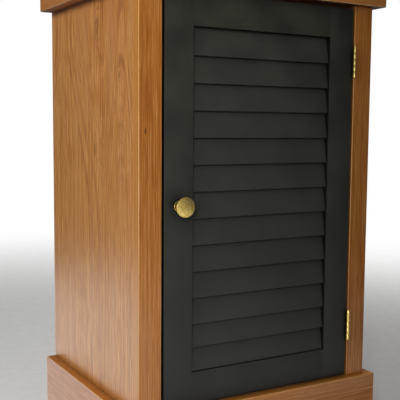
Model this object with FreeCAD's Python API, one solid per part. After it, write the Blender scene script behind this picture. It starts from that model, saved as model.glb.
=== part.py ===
import FreeCAD, Part
import math
import os

# Louvred door cabinet: a wooden carcass on a plinth, with one inset door of thirteen fixed slats.
# +X points right along the front, +Y to the back and +Z up. The origin lies on the floor, under
# the middle of the whole cabinet with its knob. Lengths are millimetres and angles are degrees.

# Door frame
door_width = 344.0
door_thickness = 20.0
door_stile_width = 47.1
door_top_rail_height = 47.9
door_bottom_rail_height = 49.4
door_edge_radius = 1.2
door_side_gap = 3.5
door_bottom_gap = 3.8
door_top_gap = 5.5

# Stub tenons of the door rails
tenon_length = 30.0
tenon_thickness = 7.0
tenon_shoulder = 10.0
tenon_cover = 4.0
mortise_end_gap = 1.0

# Louvre slats, counted from the top; the lowest ones stand closer together
slat_count = 13
foot_step_count = 2
slat_pitch = 39.5
foot_pitch = 34.9
foot_gap = 1.5
head_reveal = 41.0
slat_width = 50.0
slat_thickness = 5.5
slat_tilt = 10.0
slat_face_recess = 3.0
slat_edge_radius = 1.2
slat_housing_depth = 8.0
slat_end_gap = 0.5

# Carcass boards
body_depth = 350.0
board_thickness = 18.0
face_stile_width = 36.6
face_stile_thickness = 18.0
stile_edge_radius = 1.2
joint_edge_radius = 0.8
back_thickness = 4.0
rebate_width = 9.0
rebate_clearance = 0.5
top_thickness = 22.0
top_side_overhang = 21.0
top_front_overhang = 10.5
top_edge_radius = 2.0
stretcher_width = 60.0
stretcher_gap = 2.0
back_rail_height = 80.0

# Plinth
plinth_height = 100.0
plinth_thickness = 16.5
plinth_front_projection = 10.5
plinth_edge_radius = 1.5
glide_height = 4.0
glide_radius = 8.0
glide_edge_radius = 1.0
glide_nail_radius = 1.2
glide_nail_length = 14.0
glide_inset = 40.0

# Adjustable shelf and its pegs
shelf_setback = 25.0
shelf_side_clearance = 1.0
shelf_back_clearance = 2.0
shelf_edge_radius = 1.0
peg_radius = 2.5
peg_seat_depth = 9.0
peg_reach = 8.0
peg_tab_width = 7.0
peg_tab_height = 6.0
peg_row_inset = 50.0
peg_pitch = 32.0
peg_hole_count = 9

# Fixings
fit_clearance = 0.05
cut_overrun = 5.0
dowel_radius = 4.0
dowel_length = 30.0
dowel_face_depth = 12.0
dowel_spacing = 32.0
wood_screw_length = 30.0
wood_screw_radius = 2.0
wood_screw_head_radius = 4.0
wood_screw_head_height = 2.4
small_screw_length = 12.0
small_screw_radius = 1.3
small_screw_head_radius = 2.6
small_screw_head_height = 1.3
nail_length = 16.0
nail_radius = 0.8
nail_head_radius = 2.0
nail_head_height = 0.8
wall_hole_radius = 2.75
wall_hole_spacing = 160.0
screw_tip_share = 2.0
recess_length_share = 1.1
recess_width_share = 0.24
recess_depth_share = 0.7
depth_dowel_shares = (0.2, 0.5, 0.8)
height_dowel_shares = (0.12, 0.5, 0.88)
row_screw_shares = (0.2, 0.5, 0.8)
top_screw_shares = (0.25, 0.75)
side_nail_shares = (0.1, 0.37, 0.63, 0.9)
row_nail_shares = (0.12, 0.5, 0.88)

# Butt hinges on the right edge of the door
hinge_height = 50.0
hinge_inset = 60.0
hinge_leaf_width = 16.0
hinge_leaf_gap = 0.3
hinge_knuckle_radius = 2.75
hinge_knuckle_count = 5
hinge_face_gap = 0.5
hinge_clearance = 0.3
hinge_pin_radius = 1.4
hinge_pin_head_radius = 2.2
hinge_pin_head_height = 1.4
hinge_screw_shares = (0.14, 0.5, 0.86)
hinge_screw_depth_share = 0.55

# Magnetic catch under the front stretcher, and its strike plate on the door
catch_inset = 82.5
catch_body_width = 28.0
catch_height = 14.0
catch_depth = 16.0
catch_ear_span = 46.0
catch_ear_thickness = 4.0
catch_ear_depth = 10.0
catch_screw_spacing = 37.0
catch_gap = 0.3
magnet_width = 20.0
magnet_height = 7.0
magnet_depth = 12.0
magnet_recess = 1.5
pole_thickness = 1.5
pole_reach = 1.0
strike_length = 40.0
strike_height = 12.0
strike_thickness = 1.5
strike_screw_spacing = 29.0

# Round knob on the free stile, a little below the middle of the door
knob_drop = 2.8
knob_projection = 24.0
knob_head_radius = 15.5
knob_head_height = 18.0
knob_rim_thickness = 3.2
knob_rim_radius = 0.9
knob_neck_radius = 5.0
knob_neck_height = 9.0
knob_foot_radius = 8.5
knob_foot_thickness = 2.2
knob_cove_share = 0.25
knob_dome_share = 0.75
knob_thread_depth = 12.0
knob_screw_radius = 2.0
knob_screw_head_radius = 4.0
knob_screw_head_height = 2.6
knob_hole_clearance = 0.3

# Planes of the cabinet, worked out from the sizes above
Vector = FreeCAD.Vector
along_x = Vector(1, 0, 0)
along_y = Vector(0, 1, 0)
along_z = Vector(0, 0, 1)
tilt_sine = math.sin(math.radians(slat_tilt))
tilt_cosine = math.cos(math.radians(slat_tilt))

door_half = door_width / 2
opening_half = door_half - door_stile_width
frame_half = door_half + door_side_gap
body_half = frame_half + face_stile_width
inner_half = body_half - board_thickness
plinth_half = body_half + plinth_thickness
top_half = body_half + top_side_overhang

front_y = (knob_projection - body_depth) / 2
back_y = front_y + body_depth
back_front_y = back_y - back_thickness
stile_back_y = front_y + face_stile_thickness
door_back_y = front_y + door_thickness
plinth_front_y = front_y - plinth_front_projection
plinth_back_y = plinth_front_y + plinth_thickness
stretcher_front_y = door_back_y + stretcher_gap
stretcher_back_y = stretcher_front_y + stretcher_width
stretcher_middle_y = (stretcher_front_y + stretcher_back_y) / 2
back_rail_front_y = back_front_y - board_thickness
plinth_rail_back_y = plinth_back_y + board_thickness
shelf_front_y = door_back_y + shelf_setback
shelf_back_y = back_front_y - shelf_back_clearance

foot_reach = foot_gap + foot_step_count * foot_pitch
slat_run = (slat_count - foot_step_count - 1) * slat_pitch
opening_height = foot_reach + slat_run + head_reveal
door_height = door_bottom_rail_height + opening_height + door_top_rail_height
ledge_z = plinth_height
floor_under_z = ledge_z - board_thickness
door_bottom_z = ledge_z + door_bottom_gap
opening_bottom_z = door_bottom_z + door_bottom_rail_height
opening_top_z = opening_bottom_z + opening_height
door_top_z = door_bottom_z + door_height
top_under_z = door_top_z + door_top_gap
top_z = top_under_z + top_thickness
stretcher_under_z = top_under_z - board_thickness
stretcher_middle_z = (stretcher_under_z + top_under_z) / 2
back_rail_under_z = top_under_z - back_rail_height
shelf_under_z = (ledge_z + top_under_z) / 2
plinth_middle_z = (glide_height + floor_under_z) / 2


def slat_bottom_z(number):
    """Height of the front lower edge of a slat, numbered from 1 at the top."""
    steps_up = slat_count - number
    foot_steps = min(steps_up, foot_step_count)
    return opening_bottom_z + foot_gap + foot_steps * foot_pitch + (steps_up - foot_steps) * slat_pitch


head_slat_top_z = slat_bottom_z(1) + slat_width * tilt_cosine

catch_x = catch_inset - door_half
catch_z = stretcher_under_z - catch_height / 2
pole_front_y = door_back_y + strike_thickness + catch_gap
catch_front_y = pole_front_y + pole_reach
knob_x = door_stile_width / 2 - door_half
knob_z = (door_bottom_z + door_top_z) / 2 - knob_drop
hinge_x = door_half + door_side_gap / 2
hinge_y = front_y - hinge_knuckle_radius - hinge_face_gap
hinge_leaf_thickness = (door_side_gap - hinge_leaf_gap) / 2
hinge_screw_y = front_y + hinge_leaf_width * hinge_screw_depth_share
hinge_places = {
    "upper": door_top_z - hinge_inset - hinge_height,
    "lower": door_bottom_z + hinge_inset,
}


def between(low, high, share):
    """Point at a share of the way from low to high."""
    return low + (high - low) * share


def board(x0, x1, y0, y1, z0, z1):
    """Square-edged board between six planes."""
    return Part.makeBox(x1 - x0, y1 - y0, z1 - z0, Vector(x0, y0, z0))


def edges_on(shape, x=None, y=None, z=None):
    """Edges that lie on every one of the given planes."""
    found = []
    for edge in shape.Edges:
        box = edge.BoundBox
        spans = ((x, box.XMin, box.XMax), (y, box.YMin, box.YMax), (z, box.ZMin, box.ZMax))
        if all(plane is None or max(abs(low - plane), abs(high - plane)) < fit_clearance
               for plane, low, high in spans):
            found.append(edge)
    return found


def mirrored(shape):
    """The same shape on the other side of the cabinet's middle plane."""
    return shape.mirror(Vector(), along_x)


def both_sides(shapes):
    """The shapes of the left side, and their mirror images."""
    return shapes + [mirrored(shape) for shape in shapes]


def placed(shape, point, direction):
    """Shape made along +Z from the origin, set at a point along a direction."""
    moved = shape.copy()
    moved.Placement = FreeCAD.Placement(point, FreeCAD.Rotation(along_z, direction))
    return moved


def turned(points):
    """Solid of an outline of radius and height, turned about +Z."""
    outline = Part.makePolygon([Vector(radius, 0, height) for radius, height in points])
    return Part.Face(outline).revolve(Vector(), along_z, 360)


def screw(length, radius, head_radius, head_height, room=0.0):
    """Countersunk screw along +Z with its flat on the origin; room widens it into its own hole."""
    wide = radius + room
    tip = radius * screw_tip_share
    solid = turned([
        (0, 0),
        (head_radius + room, 0),
        (wide, head_height),
        (wide, length - tip),
        (0, length + room),
        (0, 0),
    ])
    if room:
        return solid
    arm = head_radius * recess_length_share
    width = head_radius * recess_width_share
    depth = head_height * recess_depth_share
    for long, short in ((arm, width), (width, arm)):
        solid = solid.cut(board(-long / 2, long / 2, -short / 2, short / 2, 0, depth))
    return solid


def wood_screws(points, direction, room=0.0):
    """Large screws of the carcass at the given points."""
    pattern = screw(wood_screw_length, wood_screw_radius, wood_screw_head_radius,
                    wood_screw_head_height, room)
    return [placed(pattern, point, direction) for point in points]


def small_screws(points, direction, room=0.0):
    """Small screws of hinges, catch and strike plate at the given points."""
    pattern = screw(small_screw_length, small_screw_radius, small_screw_head_radius,
                    small_screw_head_height, room)
    return [placed(pattern, point, direction) for point in points]


def nails(points, room=0.0):
    """Flush pins that hold the back panel, driven towards the front."""
    head = nail_head_radius + room
    shank = nail_radius + room
    pattern = turned([
        (0, 0),
        (head, 0),
        (head, nail_head_height + room),
        (shank, nail_head_height + room),
        (shank, nail_length - nail_radius),
        (0, nail_length + room),
        (0, 0),
    ])
    return [placed(pattern, point, -along_y) for point in points]


def dowels(points, direction, room=0.0):
    """Dowels across a joint plane, deeper into the board that lies along the direction."""
    start = dowel_face_depth + room
    length = dowel_length + room + room
    return [Part.makeCylinder(dowel_radius + room, length, point - direction * start, direction)
            for point in points]


# Places of the fixings; those of the left side are mirrored to the right
floor_dowel_points = [
    Vector(-inner_half, between(plinth_back_y, back_front_y, share), ledge_z - board_thickness / 2)
    for share in depth_dowel_shares
]
stretcher_dowel_points = [
    Vector(-inner_half, between(stretcher_front_y, stretcher_back_y, share), stretcher_middle_z)
    for share in top_screw_shares
]
back_rail_dowel_points = [
    Vector(-inner_half, back_front_y - board_thickness / 2, between(back_rail_under_z, top_under_z, share))
    for share in top_screw_shares
]
front_rail_dowel_points = [
    Vector(-inner_half, plinth_back_y + board_thickness / 2, plinth_middle_z + offset)
    for offset in (-dowel_spacing / 2, dowel_spacing / 2)
]
rear_rail_dowel_points = [
    Vector(-inner_half, back_y - board_thickness / 2, plinth_middle_z + offset)
    for offset in (-dowel_spacing / 2, dowel_spacing / 2)
]
top_dowel_points = [
    Vector(board_thickness / 2 - body_half, between(stile_back_y, back_y, share), top_under_z)
    for share in depth_dowel_shares
]
stile_dowel_points = [
    Vector(board_thickness / 2 - body_half, stile_back_y, between(ledge_z, top_under_z, share))
    for share in height_dowel_shares
]
plinth_side_screw_points = [
    Vector(-inner_half, between(plinth_back_y, back_y, share), plinth_middle_z) for share in row_screw_shares
]
plinth_front_screw_points = [
    Vector(between(-inner_half, inner_half, share), plinth_rail_back_y, plinth_middle_z)
    for share in row_screw_shares
]
top_screw_points = [
    Vector(between(-inner_half, inner_half, share), stretcher_middle_y, stretcher_under_z)
    for share in top_screw_shares
]
side_nail_points = [
    Vector(-inner_half - rebate_width / 2, back_y, between(ledge_z, back_rail_under_z, share))
    for share in side_nail_shares
]
row_nail_points = [
    Vector(between(-inner_half, inner_half, share), back_y, height)
    for height in (ledge_z - board_thickness / 2, top_under_z - back_rail_height / 2)
    for share in row_nail_shares
]
peg_rows = (stile_back_y + peg_row_inset, back_front_y - peg_row_inset)
peg_axis_z = shelf_under_z - peg_tab_height / 2


def side_holes(room):
    """Dowels that enter the inner face of the left side panel."""
    points = (floor_dowel_points + stretcher_dowel_points + back_rail_dowel_points
              + front_rail_dowel_points + rear_rail_dowel_points)
    return dowels(points, along_x, room)


def upright_holes(room):
    """Dowels from the left side panel up into the top, and back from its face stile."""
    return dowels(top_dowel_points, -along_z, room) + dowels(stile_dowel_points, along_y, room)


def side_panel_left():
    """Upright that runs forward under the face stile, with a rebate for the back and two rows of holes."""
    panel = board(-body_half, -inner_half, stile_back_y, back_y, glide_height, top_under_z)
    toe = board(-body_half, -inner_half, plinth_back_y, stile_back_y, glide_height, ledge_z)
    panel = panel.fuse(toe).removeSplitter()
    joint = edges_on(panel, x=-body_half, y=stile_back_y)
    panel = panel.makeFillet(joint_edge_radius, joint)
    tools = [board(-inner_half - rebate_width, -inner_half + cut_overrun, back_front_y, back_y + cut_overrun,
                   floor_under_z, top_under_z + cut_overrun)]
    bottom_hole = peg_axis_z - peg_pitch * (peg_hole_count - 1) / 2
    for row_y in peg_rows:
        for step in range(peg_hole_count):
            mouth = Vector(-inner_half, row_y, bottom_hole + peg_pitch * step)
            tools.append(Part.makeCylinder(peg_radius + fit_clearance, peg_seat_depth + fit_clearance,
                                           mouth, -along_x))
    tools += side_holes(fit_clearance) + upright_holes(fit_clearance)
    tools += wood_screws(plinth_side_screw_points, -along_x, fit_clearance)
    tools += nails(side_nail_points, fit_clearance)
    tools += [glide(Vector(x, y, 0), fit_clearance) for x, y in glide_places()]
    return panel.cut(tools)


def face_stile_left():
    """Front upright whose outer edge is flush with the side panel."""
    inner_x = face_stile_width - body_half
    stile = board(-body_half, inner_x, front_y, stile_back_y, ledge_z, top_under_z)
    front = edges_on(stile, x=-body_half, y=front_y) + edges_on(stile, x=inner_x, y=front_y)
    stile = stile.makeFillet(stile_edge_radius, front)
    stile = stile.makeFillet(joint_edge_radius, edges_on(stile, x=-body_half, y=stile_back_y))
    return stile.cut(dowels(stile_dowel_points, along_y, fit_clearance))


def top_panel():
    """Overhanging top with eased front and side edges."""
    panel_front_y = front_y - top_front_overhang
    panel = board(-top_half, top_half, panel_front_y, back_y, top_under_z, top_z)
    rim = []
    for height in (top_under_z, top_z):
        rim += edges_on(panel, y=panel_front_y, z=height)
        rim += edges_on(panel, x=-top_half, z=height) + edges_on(panel, x=top_half, z=height)
    rim += edges_on(panel, x=-top_half, y=panel_front_y) + edges_on(panel, x=top_half, y=panel_front_y)
    panel = panel.makeFillet(top_edge_radius, rim)
    tools = both_sides(dowels(top_dowel_points, -along_z, fit_clearance))
    return panel.cut(tools + wood_screws(top_screw_points, along_z, fit_clearance))


def bottom_panel():
    """Floor of the cupboard, level with the ledge of the plinth."""
    panel = board(-inner_half, inner_half, plinth_back_y, back_front_y, floor_under_z, ledge_z)
    tools = both_sides(dowels(floor_dowel_points, along_x, fit_clearance))
    return panel.cut(tools + nails(row_nail_points, fit_clearance))


def wall_holes():
    """Two holes through the back rail and the back panel for screws into a wall."""
    length = board_thickness + back_thickness + cut_overrun + cut_overrun
    start_y = back_front_y - board_thickness - cut_overrun
    height = between(back_rail_under_z, top_under_z, 1 / 2)
    return [Part.makeCylinder(wall_hole_radius, length, Vector(x, start_y, height), along_y)
            for x in (-wall_hole_spacing / 2, wall_hole_spacing / 2)]


def back_panel():
    """Thin sheet in the rebates of the sides."""
    half = inner_half + rebate_width - rebate_clearance
    panel = board(-half, half, back_front_y, back_y, floor_under_z, top_under_z)
    tools = both_sides(nails(side_nail_points, fit_clearance)) + nails(row_nail_points, fit_clearance)
    return panel.cut(tools + wall_holes())


def top_front_stretcher():
    """Flat board that ties the sides and carries the top and the catch."""
    rail = board(-inner_half, inner_half, stretcher_front_y, stretcher_back_y, stretcher_under_z, top_under_z)
    tools = both_sides(dowels(stretcher_dowel_points, along_x, fit_clearance))
    tools += wood_screws(top_screw_points, along_z, fit_clearance)
    return rail.cut(tools + small_screws(catch_screw_points(), along_z, fit_clearance))


def top_back_rail():
    """Upright board under the rear of the top."""
    rail = board(-inner_half, inner_half, back_rail_front_y, back_front_y, back_rail_under_z, top_under_z)
    tools = both_sides(dowels(back_rail_dowel_points, along_x, fit_clearance))
    return rail.cut(tools + nails(row_nail_points, fit_clearance) + wall_holes())


def shelf():
    """Loose board on four pegs."""
    half = inner_half - shelf_side_clearance
    plate = board(-half, half, shelf_front_y, shelf_back_y, shelf_under_z, shelf_under_z + board_thickness)
    front = edges_on(plate, y=shelf_front_y, z=shelf_under_z)
    front += edges_on(plate, y=shelf_front_y, z=shelf_under_z + board_thickness)
    return plate.makeFillet(shelf_edge_radius, front)


def shelf_pegs():
    """Pegs with a round shank in the side panel and a flat tab under the shelf."""
    pegs = []
    for row_y in peg_rows:
        mouth = Vector(-inner_half, row_y, peg_axis_z)
        shank = Part.makeCylinder(peg_radius, peg_seat_depth, mouth, -along_x)
        tab = board(-inner_half, peg_reach - inner_half, row_y - peg_tab_width / 2, row_y + peg_tab_width / 2,
                    shelf_under_z - peg_tab_height, shelf_under_z)
        pegs.append(shank.fuse(tab).removeSplitter())
    return Part.makeCompound(both_sides(pegs))


def plinth_boards():
    """Front, left and right boards of the plinth, cut from one eased ring along their mitres."""
    ring = board(-plinth_half, plinth_half, plinth_front_y, back_y, glide_height, ledge_z)
    ring = ring.cut(board(-body_half, body_half, plinth_back_y, back_y + cut_overrun,
                          glide_height - cut_overrun, ledge_z + cut_overrun))
    outer = edges_on(ring, y=plinth_front_y, z=ledge_z)
    for side_x in (-plinth_half, plinth_half):
        outer += edges_on(ring, x=side_x, z=ledge_z) + edges_on(ring, x=side_x, y=plinth_front_y)
    ring = ring.makeFillet(plinth_edge_radius, outer)
    wedge = Part.makePolygon([
        Vector(-plinth_half - cut_overrun, plinth_front_y - cut_overrun, 0),
        Vector(-body_half, plinth_back_y, 0),
        Vector(body_half, plinth_back_y, 0),
        Vector(plinth_half + cut_overrun, plinth_front_y - cut_overrun, 0),
        Vector(-plinth_half - cut_overrun, plinth_front_y - cut_overrun, 0),
    ])
    wedge = Part.Face(wedge).extrude(along_z * (ledge_z + cut_overrun))
    side_half = board(-plinth_half - cut_overrun, 0, plinth_front_y - cut_overrun, back_y + cut_overrun,
                      0, ledge_z + cut_overrun)
    left = ring.cut(wedge).common(side_half)
    left = left.cut(wood_screws(plinth_side_screw_points, -along_x, fit_clearance))
    front = ring.common(wedge).cut(wood_screws(plinth_front_screw_points, -along_y, fit_clearance))
    return {"plinth_front": front, "plinth_left": left, "plinth_right": mirrored(left)}


def plinth_front_rail():
    """Board behind the plinth front that carries the floor."""
    rail = board(-inner_half, inner_half, plinth_back_y, plinth_rail_back_y, glide_height, floor_under_z)
    tools = both_sides(dowels(front_rail_dowel_points, along_x, fit_clearance))
    return rail.cut(tools + wood_screws(plinth_front_screw_points, -along_y, fit_clearance))


def plinth_back_rail():
    """Board across the back of the plinth."""
    rail = board(-inner_half, inner_half, back_y - board_thickness, back_y, glide_height, floor_under_z)
    return rail.cut(both_sides(dowels(rear_rail_dowel_points, along_x, fit_clearance)))


def glide_places():
    """Places of the left glides, under the middle of the side panel."""
    middle_x = board_thickness / 2 - body_half
    return ((middle_x, plinth_back_y + glide_inset), (middle_x, back_y - glide_inset))


def glide(point, room=0.0):
    """Round glide with the nail that holds it."""
    foot = Part.makeCylinder(glide_radius, glide_height, point, along_z)
    if not room:
        foot = foot.makeFillet(glide_edge_radius, edges_on(foot, z=0))
    reach = glide_height + glide_nail_length + room
    nail = Part.makeCylinder(glide_nail_radius + room, reach, point, along_z)
    return foot.fuse(nail).removeSplitter()


def catch_screw_points():
    """Places of the two screws in the ears of the catch."""
    ear_y = catch_front_y + catch_depth / 2
    return [Vector(catch_x + offset, ear_y, stretcher_under_z - catch_ear_thickness)
            for offset in (-catch_screw_spacing / 2, catch_screw_spacing / 2)]


def catch_parts():
    """Moulded housing with a magnet between two steel pole plates."""
    half = catch_body_width / 2
    under_z = stretcher_under_z - catch_height
    rear_y = catch_front_y + catch_depth
    ear_front_y = catch_front_y + (catch_depth - catch_ear_depth) / 2
    body = board(catch_x - half, catch_x + half, catch_front_y, rear_y, under_z, stretcher_under_z)
    ears = board(catch_x - catch_ear_span / 2, catch_x + catch_ear_span / 2, ear_front_y,
                 ear_front_y + catch_ear_depth, stretcher_under_z - catch_ear_thickness, stretcher_under_z)
    left_x = catch_x - magnet_width / 2
    right_x = catch_x + magnet_width / 2
    low_z = catch_z - magnet_height / 2
    high_z = catch_z + magnet_height / 2
    magnet_back_y = catch_front_y + magnet_depth
    pocket = board(left_x - fit_clearance, right_x + fit_clearance,
                   catch_front_y - cut_overrun, magnet_back_y,
                   low_z - pole_thickness - fit_clearance, high_z + pole_thickness + fit_clearance)
    housing = body.fuse(ears).removeSplitter().cut(pocket)
    housing = housing.cut(small_screws(catch_screw_points(), along_z, fit_clearance))
    poles = [
        board(left_x, right_x, pole_front_y, magnet_back_y, low_z - pole_thickness, low_z),
        board(left_x, right_x, pole_front_y, magnet_back_y, high_z, high_z + pole_thickness),
    ]
    return {
        "catch_housing": housing,
        "catch_magnet": board(left_x, right_x, catch_front_y + magnet_recess, magnet_back_y, low_z, high_z),
        "catch_pole_plates": Part.makeCompound(poles),
        "catch_screws": Part.makeCompound(small_screws(catch_screw_points(), along_z)),
    }


def strike_screw_points():
    """Places of the two screws in the strike plate."""
    return [Vector(catch_x + offset, door_back_y + strike_thickness, catch_z)
            for offset in (-strike_screw_spacing / 2, strike_screw_spacing / 2)]


def strike_plate():
    """Steel plate on the back of the door's top rail."""
    half = strike_length / 2
    plate = board(catch_x - half, catch_x + half, door_back_y, door_back_y + strike_thickness,
                  catch_z - strike_height / 2, catch_z + strike_height / 2)
    return plate.cut(small_screws(strike_screw_points(), -along_y, fit_clearance))


def slat_section(number, room=0.0):
    """Tilted rectangle across a slat, with its lower edge forward."""
    start = Vector(0, front_y + slat_face_recess, slat_bottom_z(number))
    up = Vector(0, tilt_sine, tilt_cosine)
    inward = Vector(0, tilt_cosine, -tilt_sine)
    low, high = -room, slat_width + room
    near, far = -room, slat_thickness + room
    corners = [start + up * u + inward * v for u, v in ((low, near), (high, near), (high, far), (low, far))]
    return Part.Face(Part.makePolygon(corners + corners[:1]))


def slat(number):
    """Louvre slat with rounded long edges, its ends inside the stiles."""
    half = opening_half + slat_housing_depth - slat_end_gap
    blade = slat_section(number).extrude(along_x * (half + half))
    blade.translate(along_x * -half)
    long_edges = [edge for edge in blade.Edges if edge.BoundBox.XLength > slat_width]
    return blade.makeFillet(slat_edge_radius, long_edges)


def slat_housing(number):
    """Slot that a slat fills, from stile to stile."""
    half = opening_half + slat_housing_depth
    slot = slat_section(number, fit_clearance).extrude(along_x * (half + half))
    slot.translate(along_x * -half)
    return slot


def slat_housings():
    """Slots of all the slats."""
    return [slat_housing(number) for number in range(1, slat_count + 1)]


def tenon_levels():
    """Lower and upper plane of each rail's tenon, clear of the end slats and of the door's ends."""
    return {
        "top": (head_slat_top_z + tenon_cover, door_top_z - tenon_shoulder),
        "bottom": (door_bottom_z + tenon_shoulder, opening_bottom_z - tenon_cover),
    }


def tenon(rail_name, room=0.0, end_room=0.0):
    """Tenons at both ends of a rail, as one bar from stile to stile."""
    low_z, high_z = tenon_levels()[rail_name]
    middle_y = (front_y + door_back_y) / 2
    half = opening_half + tenon_length + end_room
    thick = tenon_thickness / 2 + room
    return board(-half, half, middle_y - thick, middle_y + thick, low_z - room, high_z + room)


def door_stile_left():
    """Free stile of the door, with eased outer edges, slots and mortises."""
    inner_x = door_stile_width - door_half
    stile = board(-door_half, inner_x, front_y, door_back_y, door_bottom_z, door_top_z)
    outer = edges_on(stile, x=-door_half)
    outer += edges_on(stile, y=front_y, z=door_bottom_z) + edges_on(stile, y=front_y, z=door_top_z)
    stile = stile.makeFillet(door_edge_radius, outer)
    tools = slat_housings()
    tools += [tenon(name, fit_clearance, mortise_end_gap) for name in tenon_levels()]
    return stile.cut(tools)


def door_stiles():
    """Both door stiles: the free one takes the knob, the other the hinges."""
    left = door_stile_left()
    length = door_thickness + cut_overrun + cut_overrun
    hole = Part.makeCylinder(knob_screw_radius + knob_hole_clearance, length,
                             Vector(knob_x, front_y - cut_overrun, knob_z), along_y)
    hinge_points = hinge_screw_points(door_half + hinge_leaf_thickness)
    right = mirrored(left).cut(small_screws(hinge_points, -along_x, fit_clearance))
    return {"door_stile_knob_side": left.cut(hole), "door_stile_hinge_side": right}


def door_rail(rail_name, low_z, high_z, outer_z):
    """Cross rail of the door with its tenons."""
    rail = board(-opening_half, opening_half, front_y, door_back_y, low_z, high_z)
    rail = rail.makeFillet(door_edge_radius, edges_on(rail, y=front_y, z=outer_z))
    return rail.fuse(tenon(rail_name)).removeSplitter()


def door_rails():
    """Top rail with a groove for the first slat, and bottom rail clear of the last one."""
    top = door_rail("top", opening_top_z, door_top_z, door_top_z)
    bottom = door_rail("bottom", door_bottom_z, opening_bottom_z, door_bottom_z)
    screws = small_screws(strike_screw_points(), -along_y, fit_clearance)
    return {
        "door_top_rail": top.cut([slat_housing(1)] + screws),
        "door_bottom_rail": bottom.cut(slat_housing(slat_count)),
    }


def hinge_screw_points(face_x):
    """Places of the screws of both hinges on the face of a leaf."""
    return [Vector(face_x, hinge_screw_y, base_z + hinge_height * share)
            for base_z in hinge_places.values() for share in hinge_screw_shares]


def hinge_bore(base_z):
    """Hole through all the knuckles of a hinge."""
    return Part.makeCylinder(hinge_pin_radius + fit_clearance, hinge_height + cut_overrun + cut_overrun,
                             Vector(hinge_x, hinge_y, base_z - cut_overrun), along_z)


def hinge_leaf(base_z, plate_x0, plate_x1, first_knuckle):
    """Leaf of a butt hinge with every second knuckle, starting from the bottom one it owns."""
    plate_front_y = hinge_y + hinge_knuckle_radius + hinge_clearance
    leaf = board(plate_x0, plate_x1, plate_front_y, front_y + hinge_leaf_width, base_z, base_z + hinge_height)
    step = hinge_height / hinge_knuckle_count
    for index in range(first_knuckle, hinge_knuckle_count, 2):
        low_z = base_z + step * index + (hinge_clearance / 2 if index else 0)
        last = index == hinge_knuckle_count - 1
        high_z = base_z + step * (index + 1) - (0 if last else hinge_clearance / 2)
        foot = Vector(hinge_x, hinge_y, low_z)
        knuckle = Part.makeCylinder(hinge_knuckle_radius, high_z - low_z, foot, along_z)
        web = board(plate_x0, plate_x1, hinge_y, plate_front_y + hinge_clearance, low_z, high_z)
        leaf = leaf.fuse([knuckle, web])
    return leaf.removeSplitter().cut(hinge_bore(base_z))


def hinge_pin(base_z):
    """Pin with a flat head on the top knuckle."""
    pin = Part.makeCylinder(hinge_pin_radius, hinge_height, Vector(hinge_x, hinge_y, base_z), along_z)
    head = Part.makeCylinder(hinge_pin_head_radius, hinge_pin_head_height,
                             Vector(hinge_x, hinge_y, base_z + hinge_height), along_z)
    return pin.fuse(head).removeSplitter()


def hinge_parts():
    """Two butt hinges in the gap beside the door, with their screws."""
    parts = {}
    frame_face_x = frame_half - hinge_leaf_thickness
    door_face_x = door_half + hinge_leaf_thickness
    frame_holes = small_screws(hinge_screw_points(frame_face_x), along_x, fit_clearance)
    door_holes = small_screws(hinge_screw_points(door_face_x), -along_x, fit_clearance)
    for name, base_z in hinge_places.items():
        parts[f"hinge_{name}_frame_leaf"] = hinge_leaf(base_z, frame_face_x, frame_half, 0).cut(frame_holes)
        parts[f"hinge_{name}_door_leaf"] = hinge_leaf(base_z, door_half, door_face_x, 1).cut(door_holes)
        parts[f"hinge_{name}_pin"] = hinge_pin(base_z)
    frame_screws = small_screws(hinge_screw_points(frame_face_x), along_x)
    door_screws = small_screws(hinge_screw_points(door_face_x), -along_x)
    parts["hinge_frame_screws"] = Part.makeCompound(frame_screws)
    parts["hinge_door_screws"] = Part.makeCompound(door_screws)
    return parts


def knob_outline():
    """Half section of the knob: foot, waisted neck and a thin domed head, from the door outwards."""
    def at(radius, height):
        return Vector(radius, 0, height)

    rim_z = knob_head_height + knob_rim_thickness
    foot = at(knob_foot_radius, knob_foot_thickness)
    waist = at(knob_neck_radius, knob_neck_height)
    flare = at(knob_head_radius, knob_head_height)
    lower_cove = at(between(knob_neck_radius, knob_foot_radius, knob_cove_share),
                    between(knob_neck_height, knob_foot_thickness, 1 - knob_cove_share))
    upper_cove = at(between(knob_neck_radius, knob_head_radius, knob_cove_share),
                    between(knob_neck_height, knob_head_height, 1 - knob_cove_share))
    crown = at(knob_head_radius / 2, between(rim_z, knob_projection, knob_dome_share))
    edges = [
        Part.makeLine(at(0, 0), at(knob_foot_radius, 0)),
        Part.makeLine(at(knob_foot_radius, 0), foot),
        Part.Arc(foot, lower_cove, waist).toShape(),
        Part.Arc(waist, upper_cove, flare).toShape(),
        Part.makeLine(flare, at(knob_head_radius, rim_z)),
        Part.Arc(at(knob_head_radius, rim_z), crown, at(0, knob_projection)).toShape(),
        Part.makeLine(at(0, knob_projection), at(0, 0)),
    ]
    return Part.Face(Part.Wire(edges))


def knob_parts():
    """Turned brass knob and the machine screw that holds it through the stile."""
    knob = knob_outline().revolve(Vector(), along_z, 360)
    rim = edges_on(knob, z=knob_head_height) + edges_on(knob, z=knob_head_height + knob_rim_thickness)
    knob = knob.makeFillet(knob_rim_radius, rim)
    thread = Part.makeCylinder(knob_screw_radius + fit_clearance, knob_thread_depth + fit_clearance)
    knob = placed(knob.cut(thread), Vector(knob_x, front_y, knob_z), -along_y)
    shank = Part.makeCylinder(knob_screw_radius, door_thickness + knob_thread_depth,
                              Vector(knob_x, door_back_y, knob_z), -along_y)
    head = Part.makeCylinder(knob_screw_head_radius, knob_screw_head_height,
                             Vector(knob_x, door_back_y, knob_z), along_y)
    return {"door_knob": knob, "knob_screw": shank.fuse(head).removeSplitter()}


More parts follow.
